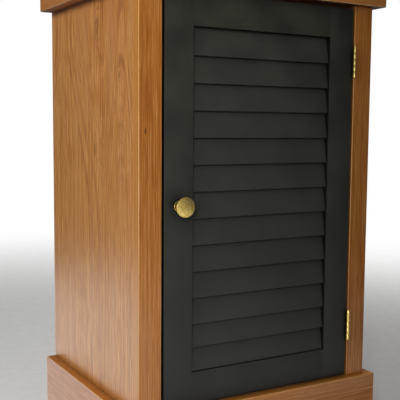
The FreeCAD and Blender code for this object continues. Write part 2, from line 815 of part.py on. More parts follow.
def carcass_fixings():
    """Groups of identical fixings in the carcass."""
    screws = both_sides(wood_screws(plinth_side_screw_points, -along_x))
    screws += wood_screws(plinth_front_screw_points, -along_y) + wood_screws(top_screw_points, along_z)
    pins = both_sides(nails(side_nail_points)) + nails(row_nail_points)
    glides = both_sides([glide(Vector(x, y, 0)) for x, y in glide_places()])
    return {
        "carcass_dowels": Part.makeCompound(both_sides(side_holes(0) + upright_holes(0))),
        "carcass_screws": Part.makeCompound(screws),
        "back_panel_pins": Part.makeCompound(pins),
        "floor_glides": Part.makeCompound(glides),
    }


def carcass_boards():
    """Boards that stand still."""
    side = side_panel_left()
    stile = face_stile_left()
    hinge_holes = small_screws(hinge_screw_points(frame_half - hinge_leaf_thickness), along_x, fit_clearance)
    return {
        "top_panel": top_panel(),
        "side_panel_left": side,
        "side_panel_right": mirrored(side),
        "face_stile_left": stile,
        "face_stile_right": mirrored(stile).cut(hinge_holes),
        "bottom_panel": bottom_panel(),
        "back_panel": back_panel(),
        "top_front_stretcher": top_front_stretcher(),
        "top_back_rail": top_back_rail(),
        "shelf": shelf(),
        "shelf_pegs": shelf_pegs(),
        "plinth_front_rail": plinth_front_rail(),
        "plinth_back_rail": plinth_back_rail(),
    }


def door_slats():
    """Thirteen slats, numbered from the top."""
    return {f"louvre_slat_{number:02d}": slat(number) for number in range(1, slat_count + 1)}


def strike_parts():
    """Strike plate and its screws."""
    screws = small_screws(strike_screw_points(), -along_y)
    return {"strike_plate": strike_plate(), "strike_screws": Part.makeCompound(screws)}


def main():
    """Make every piece and write it to its own file."""
    os.makedirs("parts", exist_ok=True)
    groups = (carcass_boards, plinth_boards, carcass_fixings, catch_parts, hinge_parts,
              door_stiles, door_rails, door_slats, knob_parts, strike_parts)
    for make_group in groups:
        for node, shape in make_group().items():
            shape.exportStep(f"parts/{node}.step")


main()
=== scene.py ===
"""Looks of the louvred door cabinet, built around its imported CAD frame.

The carcass is honey-coloured wood under satin lacquer, the louvred door wears charcoal paint and the
knob is turned brass gone dull. Lengths are metres, or millimetres where a name ends in mm.
"""

import logging
import math
from collections.abc import Callable, Iterable, Iterator, Mapping, Sequence
from contextlib import contextmanager
from dataclasses import dataclass, field
from enum import Enum
from types import MappingProxyType

import bmesh
import bpy
from mathutils import Matrix, Vector


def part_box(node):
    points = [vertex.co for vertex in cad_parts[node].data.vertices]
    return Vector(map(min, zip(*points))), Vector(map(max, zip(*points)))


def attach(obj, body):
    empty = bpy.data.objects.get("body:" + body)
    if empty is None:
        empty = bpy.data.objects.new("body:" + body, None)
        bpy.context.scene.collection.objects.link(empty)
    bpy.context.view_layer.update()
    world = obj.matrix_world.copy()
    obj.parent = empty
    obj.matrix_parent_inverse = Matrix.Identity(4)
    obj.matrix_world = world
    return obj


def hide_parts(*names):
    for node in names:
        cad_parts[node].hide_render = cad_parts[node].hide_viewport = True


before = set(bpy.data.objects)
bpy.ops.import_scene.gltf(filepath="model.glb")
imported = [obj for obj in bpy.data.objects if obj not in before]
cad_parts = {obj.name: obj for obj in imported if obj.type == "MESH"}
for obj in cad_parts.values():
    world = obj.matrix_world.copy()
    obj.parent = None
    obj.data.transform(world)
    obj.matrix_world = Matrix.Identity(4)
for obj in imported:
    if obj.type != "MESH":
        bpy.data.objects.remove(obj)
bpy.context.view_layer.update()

log = logging.getLogger("cabinet")

MM = 0.001
# What counts as one: places of edges, points of a mesh along a seam, and faces with a fold between them.
HAIR = 0.01 * MM
SEAM = 0.002 * MM
FLAT_FOLD = math.radians(0.5)
# An edge that turns more than this is sharp.
SHARP_EDGE = math.radians(40)
# Rays that look for corners and hollows round each point of a surface.
AO_RAYS = 8

Piece = bpy.types.Object
Tree = bpy.types.NodeTree
Socket = bpy.types.NodeSocket
Colour = tuple[float, float, float, float]
Inputs = Mapping[str | int, object]


class Axis(Enum):
    """A direction of the cabinet."""

    WIDE = 0
    DEEP = 1
    TALL = 2

    @property
    def unit(self) -> Vector:
        """The direction as a unit vector."""
        return Vector(1.0 if index == self.value else 0.0 for index in range(3))


class Figure(Enum):
    """What the growth rings draw on a board."""

    ARCHES = "arches"
    LINES = "lines"


class Throw(Enum):
    """What a light does to a surface: colour it or shine in it."""

    FILL = "fill"
    GLARE = "glare"


def linear(code: str) -> Colour:
    """Turn an sRGB hex code into linear light.

    Args:
        code: Six hex digits.

    Returns:
        Linear red, green, blue and full alpha.
    """
    channels = [int(code[start:start + 2], 16) / 255 for start in (0, 2, 4)]
    red, green, blue = (c / 12.92 if c <= 0.04045 else ((c + 0.055) / 1.055) ** 2.4 for c in channels)
    return red, green, blue, 1.0


def grey(level: float) -> Colour:
    """The neutral linear colour of a level."""
    return level, level, level, 1.0


def plug(tree: Tree, node: bpy.types.Node, inputs: Inputs) -> None:
    """Give inputs of a node their values and links.

    Args:
        tree: Node tree that holds the node.
        node: The node.
        inputs: Value or linked socket of each input, by name or number.
    """
    for key, value in inputs.items():
        if isinstance(value, Socket):
            tree.links.new(value, node.inputs[key])
        else:
            node.inputs[key].default_value = value


def add_node(
    tree: Tree,
    kind: str,
    inputs: Inputs = MappingProxyType({}),
    stops: Sequence[tuple[float, Colour]] = (),
    curve: str = "LINEAR",
    **settings: object,
) -> bpy.types.NodeOutputs:
    """Add a shader node with its settings, values and links.

    Args:
        tree: Node tree that takes the node.
        kind: Blender's node type without its ShaderNode prefix.
        inputs: Value or linked socket of each input, by name or number.
        stops: Places and colours of a colour ramp.
        curve: How a colour ramp goes from stop to stop.
        settings: Properties of the node.

    Returns:
        The outputs of the new node.
    """
    node = tree.nodes.new(f"ShaderNode{kind}")
    for name, value in settings.items():
        setattr(node, name, value)
    for number, (place, colour) in enumerate(stops):
        node.color_ramp.interpolation = curve
        ramp = node.color_ramp.elements
        stop = ramp[0] if number == 0 else ramp[-1] if number == len(stops) - 1 else ramp.new(place)
        stop.position = place
        stop.color = colour
    plug(tree, node, inputs)
    return node.outputs


@dataclass(frozen=True)
class Coat:
    """A colour that lies over a part of a surface.

    The mask has one value where the colour starts to show and another where it covers its full share.
    """

    mask: Socket
    faint: float
    full: float
    share: float
    code: str


def tint(tree: Tree, colour: Socket, coats: Iterable[Coat]) -> Socket:
    """Lay coats of colour over a colour, one after the other.

    Args:
        tree: Node tree of the material.
        colour: Colour under the coats.
        coats: The coats from the lowest to the topmost.

    Returns:
        The colour that shows.
    """
    for coat in coats:
        cover = add_node(tree, "MapRange", {0: coat.mask, 1: coat.faint, 2: coat.full, 4: coat.share})[0]
        colour = add_node(tree, "Mix", {0: cover, 6: colour, 7: linear(coat.code)}, data_type="RGBA")[2]
    return colour


@dataclass(frozen=True)
class Finish:
    """A surface that is the same material wherever it is used."""

    name: str

    def wire(self, tree: Tree) -> Inputs:
        """Fill the node tree; each finish has its own way.

        Args:
            tree: Node tree of the material.

        Returns:
            Values and sockets for the Principled shader.
        """
        raise NotImplementedError

    def material(self) -> bpy.types.Material:
        """Make the material, or find the one made before.

        Returns:
            The material of this finish.
        """
        made = bpy.data.materials.get(self.name)
        if made is None:
            made = bpy.data.materials.new(self.name)
            made.use_nodes = True
            plug(made.node_tree, made.node_tree.nodes["Principled BSDF"], self.wire(made.node_tree))
        return made

    def dress(self, piece: Piece) -> None:
        """Put the finish on every material slot of a piece.

        Args:
            piece: A new piece or a node of the frame.
        """
        if not piece.material_slots:
            piece.data.materials.append(None)
        for slot in piece.material_slots:
            slot.material = self.material()


@dataclass(frozen=True)
class Stain:
    """The tones that one coat of stain leaves on wood, from the darkest fibre to the thinnest coat. The
    thinnest, on the arrises, also serves as a painted highlight.
    """

    umber: str
    honey: str
    gold: str
    rose: str
    edge: str
    sanded_and_highlight: str


# Side boards took the stain lightly: golden brown with rose in the late rings.
SIDE_STAIN = Stain(
    umber="A86626", honey="C68842", gold="DEA260", rose="96562A", edge="BE824A", sanded_and_highlight="D8A468",
)
# Face stiles took the most: a saturated orange brown.
STILE_STAIN = Stain(
    umber="A05808", honey="BE762C", gold="D49250", rose="9E581C", edge="C2843C", sanded_and_highlight="D8A468",
)
# The top, the plinth and the inside took it between the two. Their palest tone is the brightest of the
# three, a painted highlight on the arris of the plinth.
FRAME_STAIN = Stain(
    umber="9E5B13", honey="B67129", gold="C8874B", rose="94531B", edge="C48042", sanded_and_highlight="FFD69A",
)


# How far the rings of a flat-sawn board climb along it, by the place across it. Both are shares.
FLAT_SAWN = (
    (0.0, 0.05), (0.2, 0.5), (0.3, 0.68), (0.42, 0.84), (0.53, 1.0),
    (0.6, 0.9), (0.72, 0.38), (0.79, 0.2), (0.86, 0.38), (1.0, 0.95),
)


@dataclass(frozen=True)
class Knot:
    """A dark knot that the rings flow round: its place, its reach and how dark its heart is."""

    aside_mm: float
    along_mm: float
    wide_mm: float
    long_mm: float
    depth: float


@dataclass(frozen=True)
class SatinWood(Finish):
    """Honey-coloured wood: sawn, stained and sprayed with satin lacquer.

    The eye sees growth rings nested in arches on a broad board and as straight lines on a narrow one,
    fibres and long threads along the grain, a blush of rose, a few knots and dark flecks, painted shade in
    the corners, paler arrises where sanding thinned the stain and a painted highlight lies, and a soft glare
    at low angles. A pair of sizes is across the grain and along it.
    """

    grain: Axis
    across: Axis
    start: Vector
    stain: Stain
    figure: Figure
    knots: Sequence[Knot]
    coarse: float
    line_mm: float = 7.0
    board_mm: float = 300.0
    arch_rings: float = 7.0
    nest_mm: tuple[float, float] = (0.0, 360.0)
    nest_rings: float = 5.0
    ring_drift: float = 2.0
    knot_rings: float = 1.5
    drift_mm: tuple[float, float] = (90.0, 450.0)
    band_mm: tuple[float, float] = (26.0, 320.0)
    streak_mm: tuple[float, float] = (12.0, 60.0)
    thread_mm: tuple[float, float] = (2.2, 260.0)
    fibre_mm: tuple[float, float] = (1.6, 44.0)
    fleck_mm: tuple[float, float] = (4.5, 24.0)
    pore_mm: tuple[float, float] = (1.1, 5.5)
    late_rings: tuple[float, float] = (0.46, 0.68)
    plain_share: float = 0.7
    thread_share: float = 0.45
    band_share: float = 0.3
    dullest: float = 0.4
    glossiest: float = 0.28
    bark: str = "4A2408"
    # Painted shade: the dark brown laid into corners and crevices, where shade falls.
    painted_corner_shade: str = "622C02"
    corner_mm: float = 18.0

    def lay(self, tree: Tree, place: Socket) -> Socket:
        """Measure places in millimetres across the board, through it and along its grain.

        Args:
            tree: Node tree of the material.
            place: Places in the cabinet.

        Returns:
            Places on the board.
        """
        through = self.grain.unit.cross(self.across.unit)
        turn = Matrix((self.across.unit, through, self.grain.unit)).transposed().to_euler()
        return add_node(tree, "Mapping", {
            "Vector": place, "Location": self.start, "Rotation": turn, "Scale": (MM,) * 3,
        }, vector_type="TEXTURE")[0]

    def streak(self, tree: Tree, board: Socket, size_mm: tuple[float, float]) -> Socket:
        """Draw a random pattern out along the grain.

        Args:
            tree: Node tree of the material.
            board: Places on the board.
            size_mm: Size of its patches across the grain and along it.

        Returns:
            The pattern.
        """
        wide, long = size_mm
        cell = add_node(tree, "VectorMath", {0: board, 1: (wide, wide, long)}, operation="DIVIDE")[0]
        return add_node(tree, "TexNoise", {
            "Vector": cell, "Scale": 1.0, "Detail": 2.0, "Roughness": 0.6,
        })["Fac"]

    def near_knots(self, tree: Tree, board: Socket) -> list[Socket]:
        """Find how near each knot is, from nought at its rim to one in its heart.

        Args:
            tree: Node tree of the material.
            board: Places on the board.

        Returns:
            The nearness of every knot.
        """
        hearts = []
        for knot in self.knots:
            squeeze = Vector((1 / knot.wide_mm, 0.0, 1 / knot.long_mm))
            middle = Vector((knot.aside_mm, 0.0, knot.along_mm))
            middle -= Vector((self.start[self.across.value], 0.0, self.start[self.grain.value])) / MM
            apart = add_node(tree, "VectorMath", {
                0: board, 1: squeeze, 2: -middle * squeeze,
            }, operation="MULTIPLY_ADD")[0]
            apart = add_node(tree, "VectorMath", {0: apart}, operation="LENGTH")["Value"]
            hearts.append(add_node(tree, "MapRange", {
                0: apart, 3: 1.0, 4: 0.0,
            }, interpolation_type="SMOOTHSTEP")[0])
        return hearts

    def late_wood(
        self, tree: Tree, board: Socket, drift: Socket, streaks: Socket, hearts: Sequence[Socket],
    ) -> Socket:
        """Draw the dark lines of the growth rings, broken along their length and flowing round the knots.

        Args:
            tree: Node tree of the material.
            board: Places on the board.
            drift: Pattern that sways the rings.
            streaks: Pattern that breaks the lines.
            hearts: Nearness of every knot.

        Returns:
            How much late wood shows.
        """
        aside, _, along = add_node(tree, "SeparateXYZ", {0: board})
        shares = [add_node(tree, "MapRange", {0: streaks, 1: 0.35, 2: 0.6, 3: 0.25})[0]]
        # Ring count: lines across a narrow member, or the profile of a flat-sawn board climbing along it.
        if self.figure is Figure.LINES:
            count = add_node(tree, "Math", {0: aside, 1: 1 / self.line_mm}, operation="MULTIPLY")[0]
        else:
            fold = add_node(tree, "Math", {0: aside, 1: self.board_mm}, operation="PINGPONG")[0]
            fold = add_node(tree, "Math", {0: fold, 1: 1 / self.board_mm}, operation="MULTIPLY")[0]
            profile = add_node(tree, "ValToRGB", {"Fac": fold}, curve="CARDINAL", stops=[
                (share, grey(rise)) for share, rise in FLAT_SAWN
            ])["Color"]
            nest = add_node(tree, "MapRange", {
                0: along, 1: self.nest_mm[0], 2: self.nest_mm[1], 4: self.nest_rings,
            }, interpolation_type="SMOOTHSTEP")[0]
            count = add_node(tree, "Math", {
                0: profile, 1: self.arch_rings, 2: nest,
            }, operation="MULTIPLY_ADD")[0]
            # The lines are strongest where the arches nest.
            shares.append(add_node(tree, "MapRange", {0: nest, 2: self.nest_rings, 3: self.plain_share})[0])
        sways = [(drift, self.ring_drift), *((heart, self.knot_rings) for heart in hearts)]
        for sway, most in sways:
            count = add_node(tree, "Math", {0: sway, 1: most, 2: count}, operation="MULTIPLY_ADD")[0]
        rings = add_node(tree, "TexNoise", {
            "W": count, "Scale": 2.0, "Detail": 3.0, "Roughness": 0.6,
        }, noise_dimensions="1D")["Fac"]
        late = add_node(tree, "MapRange", {0: rings, 1: self.late_rings[0], 2: self.late_rings[1]})[0]
        for share in shares:
            late = add_node(tree, "Math", {0: late, 1: share}, operation="MULTIPLY")[0]
        return late

    def wire(self, tree: Tree) -> Inputs:
        """Draw rings, bands, fibres and pores along the grain, then the stain and the lacquer.

        Args:
            tree: Node tree of the material.

        Returns:
            Values and sockets for the Principled shader.
        """
        place = add_node(tree, "TexCoord")
        board = self.lay(tree, place["Object"])
        broad = (self.drift_mm, self.band_mm, self.streak_mm)
        drift, bands, streaks = (self.streak(tree, board, size) for size in broad)
        # Fibres and pores are too fine to show on a board seen aslant, so there they are drawn coarser.
        fine = (self.thread_mm, self.fibre_mm, self.fleck_mm, self.pore_mm)
        threads, fibres, flecks, pores = (
            self.streak(tree, board, (wide * self.coarse, long)) for wide, long in fine
        )
        hearts = self.near_knots(tree, board)
        late = self.late_wood(tree, board, drift, streaks, hearts)

        tone = add_node(tree, "Mix", {0: self.thread_share, 2: fibres, 3: threads})[0]
        tone = add_node(tree, "Mix", {0: self.band_share, 2: tone, 3: bands})[0]
        colour = add_node(tree, "ValToRGB", {"Fac": tone}, stops=[
            (0.4, linear(self.stain.umber)), (0.5, linear(self.stain.honey)), (0.6, linear(self.stain.gold)),
        ])["Color"]

        # The narrow edges drank the stain evenly; sanding thinned it where the surface turns, and that pale
        # tone doubles as a painted highlight on the arrises.
        facing = add_node(tree, "VectorMath", {0: place["Normal"]}, operation="ABSOLUTE")[0]
        facing = add_node(tree, "SeparateXYZ", {0: facing})
        most = add_node(tree, "Math", {0: facing[0], 1: facing[1]}, operation="MAXIMUM")[0]
        most = add_node(tree, "Math", {0: most, 1: facing[2]}, operation="MAXIMUM")[0]
        corner = add_node(tree, "AmbientOcclusion", {"Distance": self.corner_mm * MM}, samples=AO_RAYS)["AO"]
        colour = tint(tree, colour, (
            Coat(bands, 0.45, 0.7, 0.4, self.stain.rose),
            Coat(late, 0.0, 1.0, 0.7, self.stain.rose),
            Coat(flecks, 0.64, 0.74, 0.7, self.stain.umber),
            Coat(pores, 0.6, 0.75, 0.4, self.stain.umber),
            *(Coat(heart, 0.3, 0.9, knot.depth, self.bark) for heart, knot in zip(hearts, self.knots)),
            Coat(facing[self.across.value], 0.0, 1.0, 0.7, self.stain.edge),
            # Paler arrises: thinned stain, and a painted highlight.
            Coat(most, 0.985, 0.9, 0.7, self.stain.sanded_and_highlight),
            # Painted shade in corners and crevices, found by ambient occlusion.
            Coat(corner, 0.95, 0.4, 0.6, self.painted_corner_shade),
        ))

        sheen = add_node(tree, "MapRange", {0: fibres, 3: self.dullest, 4: self.glossiest})[0]
        relief = add_node(tree, "Math", {0: pores, 1: -1.0, 2: fibres}, operation="MULTIPLY_ADD")[0]
        bump = add_node(tree, "Bump", {"Strength": 0.1, "Distance": 0.2 * MM, "Height": relief})[0]
        return {"Base Color": colour, "Roughness": sheen, "Normal": bump}


@dataclass(frozen=True)
class CharcoalPaint(Finish):
    """Matt charcoal paint over sanded board: faint strokes along the member and a dull, even sheen."""

    stroke: Axis
    deep: str = "2C2D27"
    pale: str = "3C3D33"
    # Painted shade: the near black laid into corners, seams and recesses.
    painted_shade: str = "0B0B0A"
    # Painted reflection: the paler grey towards the bottom of the door, standing for the floor's glare.
    dust: str = "333332"
    cloud_mm: float = 60.0
    stroke_mm: float = 2.2
    stroke_stretch: float = 0.97
    peel_mm: float = 1.6
    seam_mm: float = 8.0
    corner_mm: float = 45.0
    painted_glare_mm: tuple[float, float] = (680.0, 250.0)
    painted_glare_share: float = 0.7
    seam_shade_share: float = 0.75
    corner_shade_share: float = 0.9
    glossiest: float = 0.42
    dullest: float = 0.5
    specular: float = 0.15

    def wire(self, tree: Tree) -> Inputs:
        """Cloud the colour, draw the strokes and stipple the film.

        Args:
            tree: Node tree of the material.

        Returns:
            Values and sockets for the Principled shader.
        """
        squeeze = Vector((1.0, 1.0, 1.0)) - self.stroke.unit * self.stroke_stretch
        where = add_node(tree, "TexCoord")
        place = where["Object"]
        drawn = add_node(tree, "VectorMath", {0: place, 1: squeeze}, operation="MULTIPLY")[0]
        cloud = add_node(tree, "TexNoise", {
            "Vector": place, "Scale": 1 / (self.cloud_mm * MM), "Detail": 2.0,
        })["Fac"]
        strokes = add_node(tree, "TexNoise", {
            "Vector": drawn, "Scale": 1 / (self.stroke_mm * MM), "Detail": 2.0,
        })["Fac"]
        peel = add_node(tree, "TexNoise", {
            "Vector": place, "Scale": 1 / (self.peel_mm * MM), "Detail": 1.0,
        })["Fac"]
        tone = add_node(tree, "Math", {0: strokes, 1: 0.3, 2: cloud}, operation="MULTIPLY_ADD")[0]
        colour = add_node(tree, "ValToRGB", {"Fac": tone}, stops=[
            (0.45, linear(self.deep)), (0.85, linear(self.pale)),
        ])["Color"]
        # Painted reflection: paler and greyer towards the bottom, standing for the floor's glare.
        height = add_node(tree, "SeparateXYZ", {0: place})["Z"]
        glare_free, glare_full = (level * MM for level in self.painted_glare_mm)
        # Painted shade: darker in corners and in seams, most of all on edges that look away from the hinges.
        edge = add_node(tree, "SeparateXYZ", {0: where["Normal"]})["X"]
        edge = add_node(tree, "MapRange", {0: edge, 1: 0.0, 2: -1.0, 3: 1.0, 4: 4.0})[0]
        seam = add_node(tree, "AmbientOcclusion", {"Distance": self.seam_mm * MM}, samples=AO_RAYS)["AO"]
        seam = add_node(tree, "Math", {0: seam, 1: edge}, operation="POWER")[0]
        corner = add_node(tree, "AmbientOcclusion", {"Distance": self.corner_mm * MM}, samples=AO_RAYS)["AO"]
        colour = tint(tree, colour, (
            Coat(height, glare_free, glare_full, self.painted_glare_share, self.dust),
            Coat(corner, 1.0, 0.5, self.corner_shade_share, self.painted_shade),
            Coat(seam, 0.75, 0.2, self.seam_shade_share, self.painted_shade),
        ))
        dull = add_node(tree, "MapRange", {
            0: tone, 1: 0.4, 2: 0.9, 3: self.glossiest, 4: self.dullest,
        })[0]
        film = add_node(tree, "Math", {0: strokes, 1: 0.6, 2: peel}, operation="MULTIPLY_ADD")[0]
        bump = add_node(tree, "Bump", {"Strength": 0.1, "Distance": 0.1 * MM, "Height": film})[0]
        return {"Base Color": colour, "Roughness": dull, "Normal": bump, "Specular IOR Level": self.specular}


@dataclass(frozen=True)
class AgedBrass(Finish):
    """Turned brass gone dull in the hand: straw-coloured, brushed slantwise and brown in its hollows.

    The brown in the hollows and round the neck is tarnish and painted shade together.
    """

    straw: str = "EAD282"
    tan: str = "C0A04E"
    brown: str = "3C2A0C"
    scuff_mm: float = 3.5
    brush_mm: float = 0.9
    hollow_mm: float = 8.0
    brush_slant: float = math.radians(35)
    brush_squeeze: float = 0.15
    neck_middle: float = 1.0
    neck_half: float = 0.0
    tarnish_and_shade_share: float = 0.85
    dullest: float = 0.56
    glossiest: float = 0.42

    def wire(self, tree: Tree) -> Inputs:
        """Mottle the metal and scratch it in one direction.

        Args:
            tree: Node tree of the material.

        Returns:
            Values and sockets for the Principled shader.
        """
        place = add_node(tree, "TexCoord")["Object"]
        slant = add_node(tree, "Mapping", {
            "Vector": place,
            "Rotation": (0.0, self.brush_slant, 0.0),
            "Scale": (1.0, 1.0, self.brush_squeeze),
        })[0]
        scuffs = add_node(tree, "TexNoise", {
            "Vector": place, "Scale": 1 / (self.scuff_mm * MM), "Detail": 4.0, "Roughness": 0.6,
        })["Fac"]
        brush = add_node(tree, "TexNoise", {
            "Vector": slant, "Scale": 1 / (self.brush_mm * MM), "Detail": 2.0,
        })["Fac"]
        wear = add_node(tree, "Math", {0: brush, 1: 0.5, 2: scuffs}, operation="MULTIPLY_ADD")[0]
        # Brown in the hollows: tarnish, and painted shade.
        hollow = add_node(tree, "AmbientOcclusion", {"Distance": self.hollow_mm * MM}, samples=AO_RAYS)["AO"]
        worn = add_node(tree, "Math", {0: wear, 1: hollow}, operation="MULTIPLY")[0]
        colour = add_node(tree, "ValToRGB", {"Fac": worn}, stops=[
            (0.3, linear(self.brown)), (0.6, linear(self.tan)), (0.9, linear(self.straw)),
        ])["Color"]
        # Brown round the neck under the head: tarnish, and painted shade cast by the head.
        deep = add_node(tree, "SeparateXYZ", {0: place})["Y"]
        neck = add_node(tree, "Math", {
            0: deep, 1: self.neck_middle, 2: self.neck_half,
        }, operation="COMPARE")[0]
        colour = tint(tree, colour, [Coat(neck, 0.0, 1.0, self.tarnish_and_shade_share, self.brown)])
        dull = add_node(tree, "MapRange", {
            0: wear, 1: 0.35, 2: 0.9, 3: self.dullest, 4: self.glossiest,
        })[0]
        bump = add_node(tree, "Bump", {"Strength": 0.14, "Distance": 0.1 * MM, "Height": wear})[0]
        return {"Base Color": colour, "Roughness": dull, "Normal": bump, "Metallic": 1.0}


@dataclass(frozen=True)
class Speckled(Finish):
    """A plain industrial surface: two close tones in a fine fleck, with its own gloss."""

    dark: str
    light: str
    fleck_mm: float
    dullest: float
    glossiest: float
    metallic: float = 0.0
    relief: float = 0.15

    def wire(self, tree: Tree) -> Inputs:
        """Fleck the colour, the gloss and the surface alike.

        Args:
            tree: Node tree of the material.

        Returns:
            Values and sockets for the Principled shader.
        """
        place = add_node(tree, "TexCoord")["Object"]
        fleck = add_node(tree, "TexNoise", {
            "Vector": place, "Scale": 1 / (self.fleck_mm * MM), "Detail": 4.0, "Roughness": 0.6,
        })["Fac"]
        colour = add_node(tree, "ValToRGB", {"Fac": fleck}, stops=[
            (0.32, linear(self.dark)), (0.68, linear(self.light)),
        ])["Color"]
        dull = add_node(tree, "MapRange", {
            0: fleck, 1: 0.3, 2: 0.7, 3: self.dullest, 4: self.glossiest,
        })[0]
        bump = add_node(tree, "Bump", {
            "Strength": self.relief, "Distance": 0.1 * MM, "Height": fleck,
        })[0]
        return {"Base Color": colour, "Roughness": dull, "Normal": bump, "Metallic": self.metallic}


@dataclass(frozen=True)
class SeamlessPaper(Finish):
    """Matt white paper with a faint tooth, whose edge melts into the white room."""

    dark: str = "EDEDEC"
    light: str = "F3F3F2"
    tooth_mm: float = 25.0
    solid_radius: float = 0.9
    clear_radius: float = 2.6

    def wire(self, tree: Tree) -> Inputs:
        """Mottle the paper and fade it out with its distance from the cabinet.

        Args:
            tree: Node tree of the material.

        Returns:
            Values and sockets for the Principled shader.
        """
        place = add_node(tree, "TexCoord")["Object"]
        tooth = add_node(tree, "TexNoise", {
            "Vector": place, "Scale": 1 / (self.tooth_mm * MM), "Detail": 3.0,
        })["Fac"]
        colour = add_node(tree, "ValToRGB", {"Fac": tooth}, stops=[
            (0.3, linear(self.dark)), (0.7, linear(self.light)),
        ])["Color"]
        reach = add_node(tree, "VectorMath", {0: place}, operation="LENGTH")["Value"]
        cover = add_node(tree, "MapRange", {
            0: reach, 1: self.solid_radius, 2: self.clear_radius, 3: 1.0, 4: 0.0,
        }, interpolation_type="SMOOTHSTEP")[0]
        return {"Base Color": colour, "Alpha": cover, "Roughness": 0.95, "Specular IOR Level": 0.1}


# Zinc-plated steel: cool grey with the faint cloud of the plating bath.
ZINC = Speckled(
    "zinc_plated_steel", "8E9294", "B4B7B8", fleck_mm=4.0, dullest=0.42, glossiest=0.3, metallic=1.0,
)
# Pressed fibre board, its smooth side out: warm brown with dark flecks of bark.
HARDBOARD = Speckled("pressed_hardboard", "7E5A3A", "A27A52", fleck_mm=2.5, dullest=0.75, glossiest=0.6)
# Moulded nylon: near black, with the dull grain of the mould.
NYLON = Speckled("moulded_nylon", "161617", "232325", fleck_mm=0.8, dullest=0.6, glossiest=0.45)
# Sintered ferrite: dark grey and dead matt.
FERRITE = Speckled("sintered_ferrite", "2B2A2A", "3A3938", fleck_mm=0.6, dullest=0.85, glossiest=0.7)
# Turned beech: pale pink-brown with short flecks, left raw.
BEECH = Speckled("raw_beech", "BC9268", "D2AE84", fleck_mm=1.4, dullest=0.7, glossiest=0.55)


def start_box(name: str, centre: Vector, size: Vector, tilt: float = 0.0) -> Piece:
    """Add a box at its size and place, with both in its mesh.

    Args:
        name: Name of the piece.
        centre: Middle of the box.
        size: Its three edges.
        tilt: Turn about the cabinet's wide direction, in radians.

    Returns:
        The box, active and alone selected.
    """
    bpy.ops.object.select_all(action="DESELECT")
    bpy.ops.mesh.primitive_cube_add(size=1.0, location=centre, rotation=(tilt, 0.0, 0.0), scale=size)
    piece = bpy.context.object
    piece.name = piece.data.name = name
    bpy.ops.object.transform_apply(location=True, rotation=True, scale=True)
    return piece


@contextmanager
def editing(piece: Piece) -> Iterator[None]:
    """Shape a piece in edit mode, with nothing selected at the start.

    Args:
        piece: The piece to shape.

    Yields:
        Nothing; operators act on the piece meanwhile.
    """
    bpy.ops.object.select_all(action="DESELECT")
    piece.select_set(True)
    bpy.context.view_layer.objects.active = piece
    bpy.ops.object.mode_set(mode="EDIT")
    bpy.ops.mesh.select_mode(type="EDGE")
    bpy.ops.mesh.select_all(action="DESELECT")
    yield
    bpy.ops.object.mode_set(mode="OBJECT")


def pick(piece: Piece, wanted: Callable[[Vector, Vector], bool]) -> None:
    """Select edges of the piece in edit mode by their place.

    Args:
        piece: The piece in edit mode.
        wanted: Test of the lowest and highest corner of an edge's box.
    """
    shape = bmesh.from_edit_mesh(piece.data)
    for edge in shape.edges:
        ends = [vertex.co for vertex in edge.verts]
        low = Vector(min(end[axis] for end in ends) for axis in range(3))
        high = Vector(max(end[axis] for end in ends) for axis in range(3))
        if wanted(low, high):
            edge.select_set(True)
    bmesh.update_edit_mesh(piece.data)


def hang_on_door(piece: Piece, node: str) -> None:
    """Let a finished piece ride on the door in place of a node of the frame.

    Args:
        piece: The finished piece.
        node: Node that the piece stands for.
    """
    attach(piece, "door")
    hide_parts(node)
    log.info("%s stands for %s", piece.name, node)


def dress_node(node: str, finish: Finish, width: float) -> None:
    """Put a finish on a frame node and break its sharp edges with live modifiers.

    Args:
        node: Name of the node.
        finish: Finish of the node.
        width: How far a broken edge reaches into each face of a square corner.
    """
    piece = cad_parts[node]
    finish.dress(piece)
    weld = piece.modifiers.new("closed_seams", "WELD")
    weld.merge_threshold = SEAM
    flat = piece.modifiers.new("whole_faces", "DECIMATE")
    flat.decimate_type = "DISSOLVE"
    flat.angle_limit = FLAT_FOLD
    ease = piece.modifiers.new("eased_edges", "BEVEL")
    ease.width = width
    ease.segments = 2
    ease.limit_method = "ANGLE"
    ease.angle_limit = SHARP_EDGE
    ease.use_clamp_overlap = False
    log.info("%s wears %s", node, finish.name)


@dataclass(frozen=True)
class Cut:
    """How a board lies in the cabinet and was sawn from its log.

    The shift moves the pattern along the board and across it, so that no two boards match.
    """

    grain: Axis
    across: Axis
    figure: Figure
    shift_mm: tuple[float, float]
    stain: Stain
    knots: Sequence[Knot] = ()


